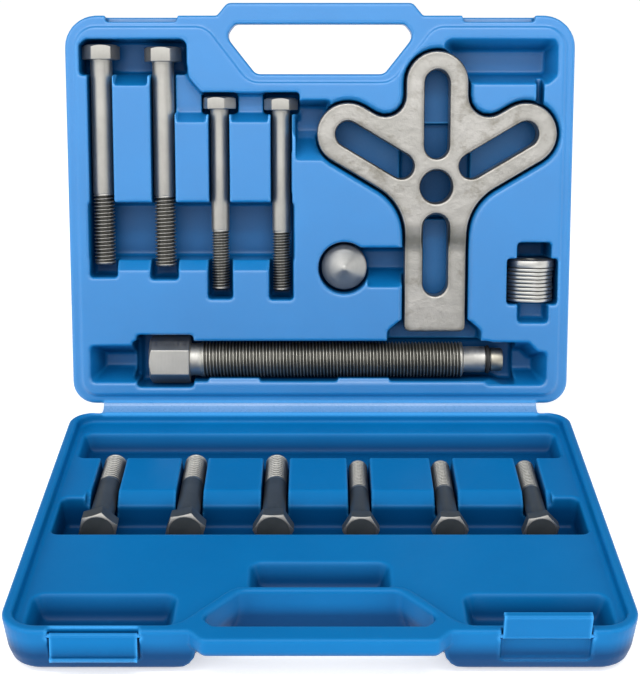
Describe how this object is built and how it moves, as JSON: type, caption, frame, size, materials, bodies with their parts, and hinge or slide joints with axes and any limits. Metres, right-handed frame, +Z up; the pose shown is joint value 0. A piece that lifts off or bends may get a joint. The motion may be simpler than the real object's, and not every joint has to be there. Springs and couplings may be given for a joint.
{
  "type": "gear puller kit",
  "caption": "Slotted four-arm puller yoke with forcing screw, cone tip, hex bolts and washers in a hinged plastic carrying case that stands open.",
  "frame": {"origin": "centre of the lower case half's flat underside, on the surface that the open kit stands on", "axes": "+Z up, +Y from the carrying handle of the lower half towards the hinge and the standing lid, +X to the right as the user faces the open kit"},
  "size_m": [0.222, 0.249, 0.1923],
  "materials": {
    "blue_plastic": "satin moulded",
    "yoke_steel": "forged, ground faces",
    "screw_steel": "phosphated",
    "o_ring_rubber": "matt",
    "cone_steel": "turned",
    "washer_steel": "plain",
    "bolt_steel": "plain",
    "dark_bolt_steel": "phosphated"
  },
  "bodies": {
    "base": {"lower_case_half": "blue_plastic"},
    "lid": {"upper_case_half": "blue_plastic"},
    "latch_left_body": {"latch_left": "blue_plastic"},
    "latch_right_body": {"latch_right": "blue_plastic"},
    "yoke": {"puller_yoke": "yoke_steel"},
    "screw": {"forcing_screw": "screw_steel", "screw_o_ring": "o_ring_rubber"},
    "cone": {"cone_tip": "cone_steel"},
    "washers": {"washer_01": "washer_steel", "washer_02": "washer_steel", "washer_03": "washer_steel", "washer_04": "washer_steel", "washer_05": "washer_steel", "washer_06": "washer_steel", "washer_07": "washer_steel", "washer_08": "washer_steel", "washer_09": "washer_steel", "washer_10": "washer_steel"},
    "long_bolt_3_8_a_body": {"long_bolt_3_8_a": "bolt_steel"},
    "long_bolt_3_8_b_body": {"long_bolt_3_8_b": "bolt_steel"},
    "long_bolt_m8_a_body": {"long_bolt_m8_a": "bolt_steel"},
    "long_bolt_m8_b_body": {"long_bolt_m8_b": "bolt_steel"},
    "short_bolt_3_8_a_body": {"short_bolt_3_8_a": "dark_bolt_steel"},
    "short_bolt_3_8_b_body": {"short_bolt_3_8_b": "dark_bolt_steel"},
    "short_bolt_3_8_c_body": {"short_bolt_3_8_c": "dark_bolt_steel"},
    "short_bolt_m8_a_body": {"short_bolt_m8_a": "dark_bolt_steel"},
    "short_bolt_m8_b_body": {"short_bolt_m8_b": "dark_bolt_steel"},
    "short_bolt_m8_c_body": {"short_bolt_m8_c": "dark_bolt_steel"}
  },
  "joints": [
    {"name": "case_hinge", "type": "hinge", "parent": "base", "child": "lid", "pos_m": [0, 0.0883, 0.02], "axis": [-1, 0, 0], "range_deg": [-104.7, 0]},
    {"name": "latch_left_hinge", "type": "hinge", "parent": "base", "child": "latch_left_body", "pos_m": [-0.0775, -0.0833, 0.017], "axis": [1, 0, 0], "range_deg": [-168, 0]},
    {"name": "latch_right_hinge", "type": "hinge", "parent": "base", "child": "latch_right_body", "pos_m": [0.0775, -0.0833, 0.017], "axis": [1, 0, 0], "range_deg": [-8, 160]},
    {"name": "yoke_lift", "type": "slide", "parent": "lid", "child": "yoke", "axis": [0, -0.9673, 0.2538], "range_m": [0, 0.025]},
    {"name": "screw_lift", "type": "slide", "parent": "lid", "child": "screw", "axis": [0, -0.9673, 0.2538], "range_m": [0, 0.025]},
    {"name": "cone_lift", "type": "slide", "parent": "lid", "child": "cone", "axis": [0, -0.9673, 0.2538], "range_m": [0, 0.02]},
    {"name": "washer_stack_lift", "type": "slide", "parent": "lid", "child": "washers", "axis": [0, -0.9673, 0.2538], "range_m": [0, 0.025]},
    {"name": "long_bolt_3_8_a_lift", "type": "slide", "parent": "lid", "child": "long_bolt_3_8_a_body", "axis": [0, -0.9673, 0.2538], "range_m": [0, 0.025]},
    {"name": "long_bolt_3_8_b_lift", "type": "slide", "parent": "lid", "child": "long_bolt_3_8_b_body", "axis": [0, -0.9673, 0.2538], "range_m": [0, 0.025]},
    {"name": "long_bolt_m8_a_lift", "type": "slide", "parent": "lid", "child": "long_bolt_m8_a_body", "axis": [0, -0.9673, 0.2538], "range_m": [0, 0.025]},
    {"name": "long_bolt_m8_b_lift", "type": "slide", "parent": "lid", "child": "long_bolt_m8_b_body", "axis": [0, -0.9673, 0.2538], "range_m": [0, 0.025]},
    {"name": "short_bolt_3_8_a_lift", "type": "slide", "parent": "base", "child": "short_bolt_3_8_a_body", "axis": [0, 0, 1], "range_m": [0, 0.02]},
    {"name": "short_bolt_3_8_b_lift", "type": "slide", "parent": "base", "child": "short_bolt_3_8_b_body", "axis": [0, 0, 1], "range_m": [0, 0.02]},
    {"name": "short_bolt_3_8_c_lift", "type": "slide", "parent": "base", "child": "short_bolt_3_8_c_body", "axis": [0, 0, 1], "range_m": [0, 0.02]},
    {"name": "short_bolt_m8_a_lift", "type": "slide", "parent": "base", "child": "short_bolt_m8_a_body", "axis": [0, 0, 1], "range_m": [0, 0.02]},
    {"name": "short_bolt_m8_b_lift", "type": "slide", "parent": "base", "child": "short_bolt_m8_b_body", "axis": [0, 0, 1], "range_m": [0, 0.02]},
    {"name": "short_bolt_m8_c_lift", "type": "slide", "parent": "base", "child": "short_bolt_m8_c_body", "axis": [0, 0, 1], "range_m": [0, 0.02]}
  ]
}
